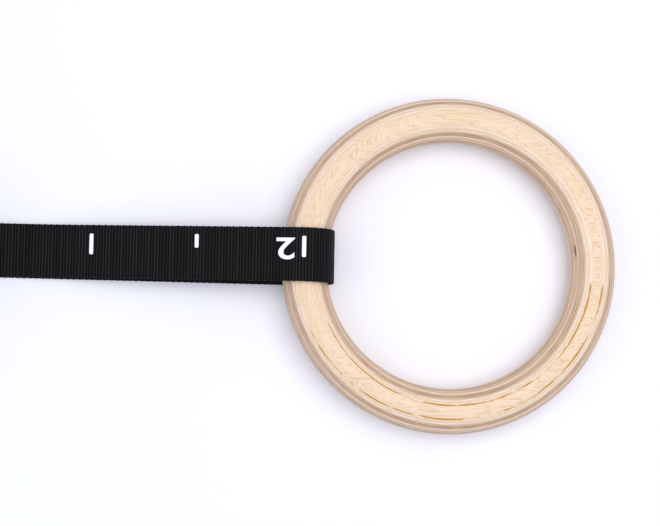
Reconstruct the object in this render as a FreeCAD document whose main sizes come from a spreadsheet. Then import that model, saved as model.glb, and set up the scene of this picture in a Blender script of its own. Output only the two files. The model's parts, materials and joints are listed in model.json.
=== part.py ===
import FreeCAD, Part
import math
import os
import Sketcher

# A wooden gymnastics ring lying flat with its webbing strap looped through it.  The strap runs
# along -X to a fold that hangs over a beam, comes back to a cam buckle, and its spare length is
# rolled up and tied.  Origin: under the ring's centre, on the surface the ring lies on; +Z is up.

SIZES = [
    ("ring_radius", 104.0, "centre line of the ring's tube: 240 mm outside, 176 mm inside"),
    ("tube_radius", 16.0, "half the 32 mm tube"),
    ("strap_width", 38.0, "webbing width"),
    ("strap_thickness", 1.7, "webbing thickness"),
    ("strap_length", 4500.0, "whole webbing, from the sewn tip to the free tip"),
    ("strap_offset", 5.4, "strap's middle line beside the ring's middle"),
    ("running_gap", 0.3, "least gap between the webbing and the swinging tube"),
    ("throat_reach", 102.3, "ring's centre to the axis that it swings about"),
    ("throat_radius", 18.1, "inside of the webbing round the tube"),
    ("descent_angle", 11.0, "slope of the upper strand as it leaves the tube"),
    ("landing_radius", 250.0, "bend where the upper strand comes down flat"),
    ("fold_centre", -552.0, "place of the beam fold along X"),
    ("fold_radius", 6.0, "middle line of the beam fold"),
    ("front_bar_place", -434.0, "buckle's front bar along X"),
    ("bar_spacing", 44.0, "front bar to rear bar"),
    ("bar_height", 7.9, "both bars above the surface"),
    ("bar_radius", 4.0, "buckle's round bars"),
    ("bar_turn_radius", 4.95, "middle line of the webbing round a bar"),
    ("sewn_lift_angle", 35.0, "slope of the sewn end behind its bar"),
    ("sewn_bend_radius", 10.0, "bends of the sewn end"),
    ("sewn_overlap", 42.0, "length stitched flat under the strap"),
    ("roll_radius", 46.5, "outside of the rolled spare length"),
    ("roll_core_radius", 12.0, "hole in the middle of the roll"),
    ("roll_pitch", 1.85, "webbing plus air from turn to turn"),
    ("roll_lift", 4.0, "bottom of the roll, on the upper strand"),
    ("tail_angle", 11.0, "slope of the tail from the buckle to the roll"),
    ("tie_width", 20.0, "hook-and-loop tie"),
    ("tie_thickness", 1.4, "one layer of the tie"),
    ("tie_gap", 0.4, "tie to webbing"),
    ("tie_core_height", 5.0, "inner run of the tie above the roll's axis"),
    ("tie_overlap", 30.0, "length of the tie's doubled end"),
    ("plate_thickness", 3.0, "buckle's side plates"),
    ("plate_inner_width", 41.0, "between the side plates"),
    ("plate_corner_radius", 6.5, "side plate round each bar and the pin"),
    ("pin_setback", 9.5, "cam pin behind the front bar"),
    ("pin_rise", 13.0, "cam pin above the bars"),
    ("pin_radius", 2.5, "cam pin"),
    ("pin_head_radius", 4.2, "riveted head"),
    ("pin_head_height", 1.4, "riveted head"),
    ("pin_running_gap", 0.05, "cam lever's bore over the pin"),
    ("floor_thickness", 2.5, "plate under the thumb lever"),
    ("floor_rise", 4.2, "underside of that plate above the surface"),
    ("floor_rear_gap", 4.0, "that plate to the webbing round the rear bar"),
    ("floor_front_gap", 3.0, "that plate to the webbing round the front bar"),
    ("bar_inset", 0.5, "bars and floor end short of the side plates' outer faces"),
    ("casting_round", 0.9, "rounded outside edges of the castings"),
    ("thumb_round", 0.6, "rounded edges of the thumb plate"),
    ("lever_width", 39.0, "cam lever"),
    ("hub_radius", 6.5, "lever round its pin"),
    ("cam_low_radius", 7.6, "cam where it starts"),
    ("cam_high_radius", 10.0, "cam where it grips"),
    ("tooth_depth", 0.8, "cam teeth"),
    ("thumb_length", 25.0, "thumb plate, from the pin"),
    ("thumb_thickness", 3.0, "thumb plate at its tip"),
    ("thumb_rise", 3.0, "thumb plate's top, from the hub to the tip"),
    ("thumb_tip_cut", 1.5, "slant at the tip of the thumb plate"),
    ("thumb_root", 4.0, "thumb plate's underside below the hub's top"),
    ("thumb_ridge", 0.6, "ridges across the thumb plate"),
    ("ridge_margin", 4.0, "plain edge beside the ridges"),
    ("ridge_start", 13.5, "first ridge, from the pin"),
    ("ridge_spacing", 2.5, "ridge to ridge"),
    ("spring_slot", 9.0, "gap in the hub for the spring"),
    ("wire_radius", 0.6, "spring wire"),
    ("coil_radius", 4.3, "spring coil's middle line"),
    ("coil_pitch", 1.35, "spring coil, turn to turn"),
    ("coil_turns", 4.375, "spring coil, from its floor leg round to its thumb leg"),
    ("leg_length", 18.0, "thumb leg"),
    ("leg_gap", 0.1, "floor leg to the floor"),
    ("ink_thickness", 0.12, "printed marks"),
    ("mark_width", 3.1, "ticks, and the strokes of the numbers"),
    ("mark_spacing", 76.2, "three inches, tick to tick"),
    ("mark_start", -103.5, "two-foot tick along X, on the crown of the tube"),
    ("mark_top", 12.5, "upper end of the ticks beside the strap's middle"),
    ("long_tick", 11.7, "stroke of the tick at each half foot"),
    ("short_tick", 7.0, "stroke of the tick between them"),
    ("digit_height", 13.5, "stroke of a number, across the strap"),
    ("digit_width", 10.5, "stroke of a number, along the strap"),
    ("thread_width", 0.9, "stitching"),
    ("thread_height", 0.5, "stitching above the webbing"),
    ("stitch_margin", 3.0, "stitched box inside the sewn overlap"),
]

DOCUMENT = FreeCAD.newDocument("gymnastics_ring")
SHEET = DOCUMENT.addObject("Spreadsheet::Sheet", "sizes")
SIZE = {}
for row, (alias, number, meaning) in enumerate(SIZES, start=1):
    SHEET.set("A%d" % row, str(number))
    SHEET.setAlias("A%d" % row, alias)
    SHEET.set("B%d" % row, meaning)
    SIZE[alias] = number
DOCUMENT.recompute()

TILT = math.asin(
    (SIZE["strap_thickness"] + SIZE["throat_radius"] - SIZE["tube_radius"])
    / (SIZE["ring_radius"] + SIZE["throat_reach"])
)
RING_HEIGHT = SIZE["tube_radius"] + SIZE["ring_radius"] * math.sin(TILT)
THROAT_X = -SIZE["throat_reach"] * math.cos(TILT)
THROAT_Z = SIZE["strap_thickness"] + SIZE["throat_radius"]
HALF_STRAP = SIZE["strap_thickness"] / 2
WRAP_RADIUS = SIZE["throat_radius"] + HALF_STRAP
UPPER_Z = SIZE["bar_height"] - SIZE["bar_turn_radius"]
STRAND_Z = SIZE["bar_height"] + SIZE["bar_turn_radius"]
REAR_BAR_X = SIZE["front_bar_place"] - SIZE["bar_spacing"]
PIN_X = SIZE["front_bar_place"] - SIZE["pin_setback"]
PIN_Z = SIZE["bar_height"] + SIZE["pin_rise"]
ROLL_Z = SIZE["roll_lift"] + SIZE["roll_radius"]

TOUCHING = 1e-4

SUB_PARTS = []


def keep(part, label):
    part.Label = label
    SUB_PARTS.append(part)
    return part


def new_body(label):
    """A body whose local XZ plane is the strap's middle plane."""
    body = DOCUMENT.addObject("PartDesign::Body", label)
    body.setExpression("Placement.Base.y", "sizes.strap_offset")
    return keep(body, label)


def new_sketch(body, name, role, offset=None):
    sketch = body.newObject("Sketcher::SketchObject", name)
    plane = [item for item in body.Origin.OriginFeatures if item.Role == role][0]
    sketch.AttachmentSupport = (plane, [""])
    sketch.MapMode = "FlatFace"
    if offset is not None:
        sketch.setExpression("AttachmentOffset.Base.z", offset)
    return sketch


def dimension(sketch, expression, *constraint):
    """A sketch constraint driven by the sheet; a None expression keeps the number given."""
    index = sketch.addConstraint(Sketcher.Constraint(*constraint))
    if expression is not None:
        sketch.setExpression("Constraints[%d]" % index, expression)
    return index


def point(x, z):
    return FreeCAD.Vector(x, z, 0)


def add_circle(sketch, centre, radius, expression):
    """A circle with its radius driven by the sheet."""
    index = sketch.addGeometry(Part.Circle(point(*centre), FreeCAD.Vector(0, 0, 1), radius))
    dimension(sketch, expression, "Radius", index, radius)
    dimension(sketch, None, "DistanceX", -1, 1, index, 3, centre[0])
    dimension(sketch, None, "DistanceY", -1, 1, index, 3, centre[1])
    return index


def add_outline(sketch, corners):
    """A closed outline of straight edges through the corners, each corner held in place."""
    for start, end in zip(corners, corners[1:] + corners[:1]):
        sketch.addGeometry(Part.LineSegment(point(*start), point(*end)))
    count = len(corners)
    for index, corner in enumerate(corners):
        sketch.addConstraint(Sketcher.Constraint("Coincident", index, 2, (index + 1) % count, 1))
        dimension(sketch, None, "DistanceX", -1, 1, index, 1, corner[0])
        dimension(sketch, None, "DistanceY", -1, 1, index, 1, corner[1])


def add_rectangle(sketch, centre, sides, expressions):
    """A rectangle about a centre, with its two sides driven by the sheet."""
    left, right = centre[0] - sides[0] / 2, centre[0] + sides[0] / 2
    low, high = centre[1] - sides[1] / 2, centre[1] + sides[1] / 2
    corners = [(left, low), (right, low), (right, high), (left, high)]
    first = sketch.GeometryCount
    for start, end in zip(corners, corners[1:] + corners[:1]):
        sketch.addGeometry(Part.LineSegment(point(*start), point(*end)))
    for index in range(4):
        sketch.addConstraint(
            Sketcher.Constraint("Coincident", first + index, 2, first + (index + 1) % 4, 1)
        )
    for index in (0, 2):
        sketch.addConstraint(Sketcher.Constraint("Horizontal", first + index))
        sketch.addConstraint(Sketcher.Constraint("Vertical", first + index + 1))
    dimension(sketch, expressions[0], "DistanceX", first, 1, first, 2, sides[0])
    dimension(sketch, expressions[1], "DistanceY", first + 1, 1, first + 1, 2, sides[1])
    middle = sketch.addGeometry(Part.Point(point(*centre)), True)
    sketch.addConstraint(Sketcher.Constraint("Symmetric", first, 1, first + 1, 2, middle, 1))
    dimension(sketch, None, "DistanceX", -1, 1, middle, 1, centre[0])
    dimension(sketch, None, "DistanceY", -1, 1, middle, 1, centre[1])


def pad(body, sketch, name, length, expression):
    """Extrude a sketch both ways from its plane."""
    feature = body.newObject("PartDesign::Pad", name)
    feature.Profile = sketch
    feature.Midplane = True
    feature.Length = length
    if expression is not None:
        feature.setExpression("Length", expression)
    return feature


def pocket(body, sketch, name, length):
    """Cut a sketch through the body, both ways from its plane, and check that it cuts."""
    before = body.Tip.Shape.Volume
    feature = body.newObject("PartDesign::Pocket", name)
    feature.Profile = sketch
    feature.Midplane = True
    feature.Length = length
    DOCUMENT.recompute()
    assert feature.Shape.Volume < before, "%s cuts nothing" % name
    return feature


def round_edges(body, name, alias, wanted):
    """Fillets the edges of a body whose points all pass a test, and checks that it still is solid."""
    base = body.Tip
    found = []
    for number, edge in enumerate(base.Shape.Edges, start=1):
        if all(wanted(place) for place in edge.discretize(7)):
            found.append("Edge%d" % number)
    feature = body.newObject("PartDesign::Fillet", name)
    feature.Base = (base, found)
    feature.setExpression("Radius", "sizes." + alias)
    DOCUMENT.recompute()
    assert feature.Shape.isValid() and len(feature.Shape.Solids) == 1, "%s failed" % name
    return feature


def add_runs(sketch, start, heading, runs):
    """Straight runs and tangent arcs; turns to the left are positive.  Returns the length."""
    x, z = start
    angle = math.radians(heading)
    total = 0.0
    previous = None
    for kind, amount, expression, turn in runs:
        if kind == "line":
            nearer, further = 1, 2
            end = (x + amount * math.cos(angle), z + amount * math.sin(angle))
            index = sketch.addGeometry(Part.LineSegment(point(x, z), point(*end)))
            dimension(sketch, expression, "Distance", index, amount)
            total += amount
        else:
            side = math.copysign(1.0, turn)
            centre = (x - side * amount * math.sin(angle), z + side * amount * math.cos(angle))
            first = math.atan2(z - centre[1], x - centre[0])
            last = first + math.radians(turn)
            nearer, further = (1, 2) if side > 0 else (2, 1)
            circle = Part.Circle(point(*centre), FreeCAD.Vector(0, 0, 1), amount)
            index = sketch.addGeometry(Part.ArcOfCircle(circle, min(first, last), max(first, last)))
            dimension(sketch, expression, "Radius", index, amount)
            dimension(sketch, None, "Angle", index, math.radians(abs(turn)))
            end = (centre[0] + amount * math.cos(last), centre[1] + amount * math.sin(last))
            angle += math.radians(turn)
            total += amount * math.radians(abs(turn))
        if previous is None:
            dimension(sketch, None, "DistanceX", -1, 1, index, nearer, x)
            dimension(sketch, None, "DistanceY", -1, 1, index, nearer, z)
            if kind == "line":
                sketch.addConstraint(Sketcher.Constraint("Horizontal", index))
            else:
                sketch.addConstraint(Sketcher.Constraint("Vertical", index, 3, index, nearer))
        else:
            sketch.addConstraint(Sketcher.Constraint("Tangent", *previous, index, nearer))
        previous = (index, further)
        x, z = end
    return total


def strand(label, start, heading, runs):
    """A stretch of webbing swept along its middle line.  Returns the body and its length."""
    body = new_body(label)
    route = new_sketch(body, label + "_route", "XZ_Plane")
    length = add_runs(route, start, heading, runs)
    section = new_sketch(body, label + "_section", "YZ_Plane")
    section.AttachmentOffset = FreeCAD.Placement(FreeCAD.Vector(0, 0, start[0]), FreeCAD.Rotation())
    sides = (SIZE["strap_width"], SIZE["strap_thickness"])
    add_rectangle(section, (0, start[1]), sides, ("sizes.strap_width", "sizes.strap_thickness"))
    DOCUMENT.recompute()
    sweep = body.newObject("PartDesign::AdditivePipe", label + "_sweep")
    sweep.Profile = section
    sweep.Spine = (route, ["Edge%d" % (number + 1) for number in range(len(runs))])
    DOCUMENT.recompute()
    expected = length * sides[0] * sides[1]
    assert abs(body.Shape.Volume / expected - 1) < 0.002, "%s is not its section times length" % label
    return body, length


# ---- the ring -----------------------------------------------------------------------------------

def wooden_ring():
    """Turned from one laminated blank; it rests on the strap on one side, so it leans a little."""
    body = DOCUMENT.addObject("PartDesign::Body", "wooden_ring")
    section = new_sketch(body, "ring_section", "XZ_Plane")
    circle = section.addGeometry(
        Part.Circle(point(SIZE["ring_radius"], 0), FreeCAD.Vector(0, 0, 1), SIZE["tube_radius"])
    )
    dimension(section, "sizes.tube_radius", "Radius", circle, SIZE["tube_radius"])
    dimension(section, "sizes.ring_radius", "DistanceX", -1, 1, circle, 3, SIZE["ring_radius"])
    section.addConstraint(Sketcher.Constraint("PointOnObject", circle, 3, -1))
    DOCUMENT.recompute()
    turned = body.newObject("PartDesign::Revolution", "ring_turned")
    turned.Profile = section
    turned.ReferenceAxis = (section, ["V_Axis"])
    turned.Angle = 360.0
    body.Placement = FreeCAD.Placement(
        FreeCAD.Vector(0, 0, RING_HEIGHT),
        FreeCAD.Rotation(FreeCAD.Vector(0, 1, 0), math.degrees(TILT)),
    )
    DOCUMENT.recompute()
    keep(body, "wooden_ring")


def check_throat():
    """The curved tube stays clear of the straight webbing round it at every swing of the ring."""
    edge = SIZE["strap_offset"] + SIZE["strap_width"] / 2
    inner = math.sqrt((SIZE["ring_radius"] - SIZE["tube_radius"]) ** 2 - edge ** 2)
    outer = SIZE["ring_radius"] + SIZE["tube_radius"]
    reach = max(SIZE["throat_reach"] - inner, outer - SIZE["throat_reach"])
    assert SIZE["throat_radius"] >= reach + SIZE["running_gap"]


# ---- the webbing --------------------------------------------------------------------------------

def upper_runs(outward=0.0):
    """Upper strand from the buckle to the tube's top, shifted outward from its middle line."""
    slope = math.radians(SIZE["descent_angle"])
    bend = SIZE["landing_radius"]
    rise = THROAT_Z + WRAP_RADIUS * math.cos(slope) - UPPER_Z
    climb = (rise - bend * (1 - math.cos(slope))) / math.sin(slope)
    reach = WRAP_RADIUS * math.sin(slope) + climb * math.cos(slope) + bend * math.sin(slope)
    flat = THROAT_X - reach - SIZE["front_bar_place"]
    return [
        ("line", flat, None, 0),
        ("arc", bend - outward, None, SIZE["descent_angle"]),
        ("line", climb, None, 0),
    ]


def webbing():
    """Every stretch of the one long strap, in order from its sewn tip.  Returns their lengths."""
    thickness = SIZE["strap_thickness"]
    lengths = {}

    lift = math.radians(SIZE["sewn_lift_angle"])
    bend = SIZE["sewn_bend_radius"]
    sewn_rise = STRAND_Z - thickness - UPPER_Z
    ramp = (sewn_rise - 2 * bend * (1 - math.cos(lift))) / math.sin(lift)
    sewn_runs = [
        ("arc", bend, "sizes.sewn_bend_radius", -SIZE["sewn_lift_angle"]),
        ("line", ramp, None, 0),
        ("arc", bend, "sizes.sewn_bend_radius", SIZE["sewn_lift_angle"]),
        ("line", SIZE["sewn_overlap"], "sizes.sewn_overlap", 0),
    ]
    start = (REAR_BAR_X, UPPER_Z)
    lengths["strap_sewn_end"] = strand("strap_sewn_end", start, 180, sewn_runs)[1]

    eye_runs = [
        ("line", REAR_BAR_X - SIZE["fold_centre"], None, 0),
        ("arc", SIZE["bar_turn_radius"], "sizes.bar_turn_radius", -180),
    ]
    start = (SIZE["fold_centre"], STRAND_Z)
    lengths["strap_sewn_eye"] = strand("strap_sewn_eye", start, 0, eye_runs)[1]

    fold_runs = [("arc", SIZE["fold_radius"], "sizes.fold_radius", -180)]
    start = (SIZE["fold_centre"], HALF_STRAP)
    lengths["strap_beam_fold"] = strand("strap_beam_fold", start, 180, fold_runs)[1]

    lower_runs = [("line", THROAT_X - SIZE["fold_centre"], None, 0)]
    lengths["strap_lower_strand"] = strand("strap_lower_strand", start, 0, lower_runs)[1]

    wrap_runs = [("arc", WRAP_RADIUS, None, 180 + SIZE["descent_angle"])]
    start = (THROAT_X, HALF_STRAP)
    lengths["strap_ring_wrap"] = strand("strap_ring_wrap", start, 0, wrap_runs)[1]

    start = (SIZE["front_bar_place"], UPPER_Z)
    lengths["strap_upper_strand"] = strand("strap_upper_strand", start, 0, upper_runs())[1]

    tail_runs = [
        ("arc", SIZE["bar_turn_radius"], "sizes.bar_turn_radius", -180 - SIZE["tail_angle"]),
        ("line", tail_length(), None, 0),
    ]
    body, lengths["strap_tail"] = strand("strap_tail", start, 180, tail_runs)
    cut = new_sketch(body, "tail_meets_roll", "XZ_Plane")
    add_circle(cut, (roll_place(), ROLL_Z), SIZE["roll_radius"], "sizes.roll_radius")
    pocket(body, cut, "tail_end_cut", 2 * SIZE["strap_width"])
    return lengths


def roll_place():
    """The roll's axis along X, so that the tail runs tangent from the front bar to the roll."""
    slope = math.radians(SIZE["tail_angle"])
    drop = ROLL_Z - SIZE["bar_height"]
    middle = SIZE["roll_radius"] - HALF_STRAP + SIZE["bar_turn_radius"]
    return SIZE["front_bar_place"] + (middle - drop * math.cos(slope)) / math.sin(slope)


def tail_length():
    """Straight tail between its two tangent points."""
    slope = math.radians(SIZE["tail_angle"])
    apart = roll_place() - SIZE["front_bar_place"]
    return apart * math.cos(slope) - (ROLL_Z - SIZE["bar_height"]) * math.sin(slope)


def strap_roll(used):
    """The spare length, rolled up: its ring of turns holds what the other stretches leave."""
    body = new_body("strap_roll")
    section = new_sketch(body, "roll_section", "XZ_Plane")
    add_circle(section, (roll_place(), ROLL_Z), SIZE["roll_radius"], "sizes.roll_radius")
    add_circle(section, (roll_place(), ROLL_Z), SIZE["roll_core_radius"], "sizes.roll_core_radius")
    pad(body, section, "roll_turns", SIZE["strap_width"], "sizes.strap_width")
    DOCUMENT.recompute()
    area = math.pi * (SIZE["roll_radius"] ** 2 - SIZE["roll_core_radius"] ** 2)
    rolled = area / SIZE["roll_pitch"]
    missing = SIZE["strap_length"] - used - rolled
    print("strap in strands %.1f mm, rolled %.1f mm, unplaced %.1f mm" % (used, rolled, missing))
    assert abs(missing) < 0.01 * SIZE["strap_length"], "the roll does not hold the spare length"


def storage_tie():
    """Hook-and-loop strip through the roll's core and over its top, its end lapped on itself."""
    body = new_body("storage_tie")
    section = new_sketch(body, "tie_section", "YZ_Plane")
    section.AttachmentOffset = FreeCAD.Placement(
        FreeCAD.Vector(0, 0, roll_place()), FreeCAD.Rotation()
    )
    low = ROLL_Z + SIZE["tie_core_height"]
    high = ROLL_Z + SIZE["roll_radius"] + SIZE["tie_gap"]
    width = SIZE["strap_width"] + 2 * SIZE["tie_gap"]
    layer = 2 * SIZE["tie_thickness"]
    centre = (0, (low + high) / 2)
    add_rectangle(section, centre, (width, high - low), (None, None))
    add_rectangle(section, centre, (width + layer, high - low + layer), (None, None))
    pad(body, section, "tie_loop", SIZE["tie_width"], "sizes.tie_width")
    lap = new_sketch(body, "tie_lap_section", "YZ_Plane")
    lap.AttachmentOffset = section.AttachmentOffset
    top = high + 1.5 * SIZE["tie_thickness"]
    add_rectangle(
        lap,
        (0, top),
        (SIZE["tie_overlap"], SIZE["tie_thickness"]),
        ("sizes.tie_overlap", "sizes.tie_thickness"),
    )
    pad(body, lap, "tie_lap", SIZE["tie_width"], "sizes.tie_width")
    DOCUMENT.recompute()


def add_solids(label, solids):
    """A node whose separate solids are built with shape functions, in the strap's own plane."""
    feature = DOCUMENT.addObject("Part::Feature", label)
    feature.Shape = Part.makeCompound(solids)
    feature.Placement = FreeCAD.Placement(
        FreeCAD.Vector(0, SIZE["strap_offset"], 0), FreeCAD.Rotation()
    )
    return keep(feature, label)


def straight_stroke(start, end, width, low, high):
    """A standing prism round one straight pen stroke drawn in plan, with round ends."""
    start, end = FreeCAD.Vector(*start, low), FreeCAD.Vector(*end, low)
    along = (end - start).normalize() * (width / 2)
    across = FreeCAD.Vector(-along.y, along.x, 0)
    edges = [
        Part.makeLine(start + across, end + across),
        Part.Arc(end + across, end + along, end - across).toShape(),
        Part.makeLine(end - across, start - across),
        Part.Arc(start - across, start - along, start + across).toShape(),
    ]
    return Part.Face(Part.Wire(edges)).extrude(FreeCAD.Vector(0, 0, high - low))


def ink_layer():
    """A skin on the outer face of the upper strand, from its landing to the tube's inner side."""
    slope = math.radians(SIZE["descent_angle"])
    past_crown = math.radians(40)
    flat, bend, climb = [run[1] for run in upper_runs()]
    landing = SIZE["front_bar_place"] + flat
    sides = []
    for outward in (HALF_STRAP, HALF_STRAP + SIZE["ink_thickness"]):
        centre = (landing, UPPER_Z + bend)
        radius = bend - outward
        along = [(landing - bend / 8, UPPER_Z + outward), (landing, UPPER_Z + outward)]
        for share in (0.5, 1.0):
            turn = slope * share
            along.append((centre[0] + radius * math.sin(turn), centre[1] - radius * math.cos(turn)))
        radius = WRAP_RADIUS + outward
        for turn in (-slope, (past_crown - slope) / 2, past_crown):
            along.append((THROAT_X + radius * math.sin(turn), THROAT_Z + radius * math.cos(turn)))
        sides.append([FreeCAD.Vector(x, -SIZE["strap_width"] / 2, z) for x, z in along])
    edges = []
    for side in sides:
        edges.append(Part.makeLine(side[0], side[1]))
        edges.append(Part.Arc(side[1], side[2], side[3]).toShape())
        edges.append(Part.makeLine(side[3], side[4]))
        edges.append(Part.Arc(side[4], side[5], side[6]).toShape())
    edges.append(Part.makeLine(sides[0][0], sides[1][0]))
    edges.append(Part.makeLine(sides[0][-1], sides[1][-1]))
    wire = Part.Wire(Part.__sortEdges__(edges))
    return Part.Face(wire).extrude(FreeCAD.Vector(0, SIZE["strap_width"], 0))


def printed_scale():
    """Ticks each three inches, and the foot number beside its tick, as ink on the strap."""
    slope = math.cos(math.radians(SIZE["descent_angle"]))
    low, high = 0, 2 * THROAT_Z + SIZE["strap_width"]
    top = SIZE["mark_top"]
    prisms = []
    for number in range(4):
        place = SIZE["mark_start"] - number * SIZE["mark_spacing"] * slope
        length = SIZE["long_tick"] if number % 2 == 0 else SIZE["short_tick"]
        ends = ((place, top), (place, top - length))
        prisms.append(straight_stroke(*ends, SIZE["mark_width"], low, high))
    outline = Part.Wire(numeral_two()).makeOffset2D(SIZE["mark_width"] / 2, 0, False, False, False)
    prisms.append(Part.Face(outline).extrude(FreeCAD.Vector(0, 0, high)))
    layer = ink_layer()
    marks = [layer.common(prism) for prism in prisms]
    add_solids("printed_scale", [solid for mark in marks for solid in mark.Solids])


def numeral_two():
    """The strokes of a 2 that reads towards -X, its foot towards +Y."""
    width, height = SIZE["digit_width"], SIZE["digit_height"]
    radius = width / 2
    right = SIZE["mark_start"] - 2.6 * SIZE["mark_width"]
    foot = SIZE["mark_top"] - 1.7
    left = right - width
    centre = FreeCAD.Vector(right - radius, foot - height + radius, 0)

    def on_bowl(degrees):
        angle = math.radians(degrees)
        return centre + FreeCAD.Vector(radius * math.cos(angle), radius * math.sin(angle), 0)

    bowl = Part.Arc(on_bowl(-20), on_bowl(-100), on_bowl(-215)).toShape()
    knee = on_bowl(-215)
    corner = FreeCAD.Vector(right, foot, 0)
    end = FreeCAD.Vector(left, foot, 0)
    return [bowl, Part.makeLine(knee, corner), Part.makeLine(corner, end)]


def sewn_end_stitching():
    """Box and cross of thread through the two layers, showing above and below."""
    lift = math.radians(SIZE["sewn_lift_angle"])
    bend = SIZE["sewn_bend_radius"]
    rise = STRAND_Z - SIZE["strap_thickness"] - UPPER_Z
    ramp = (rise - 2 * bend * (1 - math.cos(lift))) / math.sin(lift)
    near = REAR_BAR_X - 2 * bend * math.sin(lift) - ramp * math.cos(lift) - SIZE["stitch_margin"]
    far = near - SIZE["sewn_overlap"] + 2 * SIZE["stitch_margin"]
    side = SIZE["strap_width"] / 2 - SIZE["stitch_margin"]
    corners = [(near, -side), (far, -side), (far, side), (near, side)]
    lines = list(zip(corners, corners[1:] + corners[:1]))
    lines += [(corners[0], corners[2]), (corners[1], corners[3])]
    above = STRAND_Z + HALF_STRAP
    below = above - 2 * SIZE["strap_thickness"] - SIZE["thread_height"]
    solids = []
    for low in (above, below):
        high = low + SIZE["thread_height"]
        width = SIZE["thread_width"]
        threads = [straight_stroke(*line, width, low, high) for line in lines]
        solids.append(threads[0].multiFuse(threads[1:]))
    add_solids("sewn_end_stitching", solids)


# ---- the cam buckle -----------------------------------------------------------------------------

def buckle_frame():
    """Cast frame: two side plates joined by the front bar, the rear bar and a floor."""
    body = new_body("buckle_frame")
    corner = SIZE["plate_corner_radius"]
    front = (SIZE["front_bar_place"], SIZE["bar_height"])
    rear = (REAR_BAR_X, SIZE["bar_height"])
    pin = (PIN_X, PIN_Z)
    outer_width = SIZE["plate_inner_width"] + 2 * SIZE["plate_thickness"]

    plates = new_sketch(body, "plate_outline", "XZ_Plane")
    add_rounded_triangle(plates, [rear, front, pin], corner)
    pad(
        body,
        plates,
        "plate_block",
        outer_width,
        "sizes.plate_inner_width + 2 * sizes.plate_thickness",
    )
    DOCUMENT.recompute()

    inside = new_sketch(body, "inside_outline", "XZ_Plane")
    margin = 4 * corner
    corners = [
        (rear[0] - margin, rear[1] - margin),
        (front[0] + margin, rear[1] - margin),
        (front[0] + margin, pin[1] + margin),
        (rear[0] - margin, pin[1] + margin),
    ]
    add_outline(inside, corners)
    gap = pocket(body, inside, "between_plates", SIZE["plate_inner_width"])
    gap.setExpression("Length", "sizes.plate_inner_width")
    DOCUMENT.recompute()

    bar_length = outer_width - 2 * SIZE["bar_inset"]
    bar_expression = "sizes.plate_inner_width + 2 * sizes.plate_thickness - 2 * sizes.bar_inset"
    for name, centre in (("front_bar", front), ("rear_bar", rear)):
        bar = new_sketch(body, name + "_section", "XZ_Plane")
        add_circle(bar, centre, SIZE["bar_radius"], "sizes.bar_radius")
        pad(body, bar, name, bar_length, bar_expression)
        DOCUMENT.recompute()

    floor = new_sketch(body, "floor_section", "XZ_Plane")
    floor_start = rear[0] + SIZE["bar_turn_radius"] + SIZE["floor_rear_gap"]
    floor_end = front[0] - SIZE["bar_turn_radius"] - SIZE["floor_front_gap"]
    floor_middle = ((floor_start + floor_end) / 2, SIZE["floor_rise"] + SIZE["floor_thickness"] / 2)
    add_rectangle(
        floor,
        floor_middle,
        (floor_end - floor_start, SIZE["floor_thickness"]),
        (None, "sizes.floor_thickness"),
    )
    pad(body, floor, "floor", bar_length, bar_expression)
    DOCUMENT.recompute()
    round_edges(
        body,
        "rounded_plates",
        "casting_round",
        lambda place: abs(abs(place.y) - outer_width / 2) < TOUCHING,
    )

    holes = new_sketch(body, "pin_hole_section", "XZ_Plane")
    add_circle(holes, pin, SIZE["pin_radius"], "sizes.pin_radius")
    pocket(body, holes, "pin_holes", 2 * outer_width)


def add_rounded_triangle(sketch, centres, radius):
    """Three equal arcs, anticlockwise, joined by their outer tangent lines."""
    count = len(centres)
    tangents = []
    for start, end in zip(centres, centres[1:] + centres[:1]):
        run = math.hypot(end[0] - start[0], end[1] - start[1])
        out = ((end[1] - start[1]) / run * radius, -(end[0] - start[0]) / run * radius)
        tangents.append(((start[0] + out[0], start[1] + out[1]), (end[0] + out[0], end[1] + out[1])))
    for index, (start, end) in enumerate(tangents):
        sketch.addGeometry(Part.LineSegment(point(*start), point(*end)))
    for index in range(count):
        corner = centres[(index + 1) % count]
        entry = tangents[index][1]
        leave = tangents[(index + 1) % count][0]
        first = math.atan2(entry[1] - corner[1], entry[0] - corner[0])
        last = math.atan2(leave[1] - corner[1], leave[0] - corner[0])
        if last < first:
            last += 2 * math.pi
        circle = Part.Circle(point(*corner), FreeCAD.Vector(0, 0, 1), radius)
        arc = sketch.addGeometry(Part.ArcOfCircle(circle, first, last))
        sketch.addConstraint(Sketcher.Constraint("Tangent", index, 2, arc, 1))
        sketch.addConstraint(Sketcher.Constraint("Tangent", arc, 2, (index + 1) % count, 1))
        dimension(sketch, "sizes.plate_corner_radius", "Radius", arc, radius)
        dimension(sketch, None, "DistanceX", -1, 1, arc, 3, corner[0])
        dimension(sketch, None, "DistanceY", -1, 1, arc, 3, corner[1])


def about_pin(along, up):
    return (PIN_X + along, PIN_Z + up)


def on_cam(degrees, radius):
    angle = math.radians(degrees)
    return about_pin(radius * math.cos(angle), radius * math.sin(angle))


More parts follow.
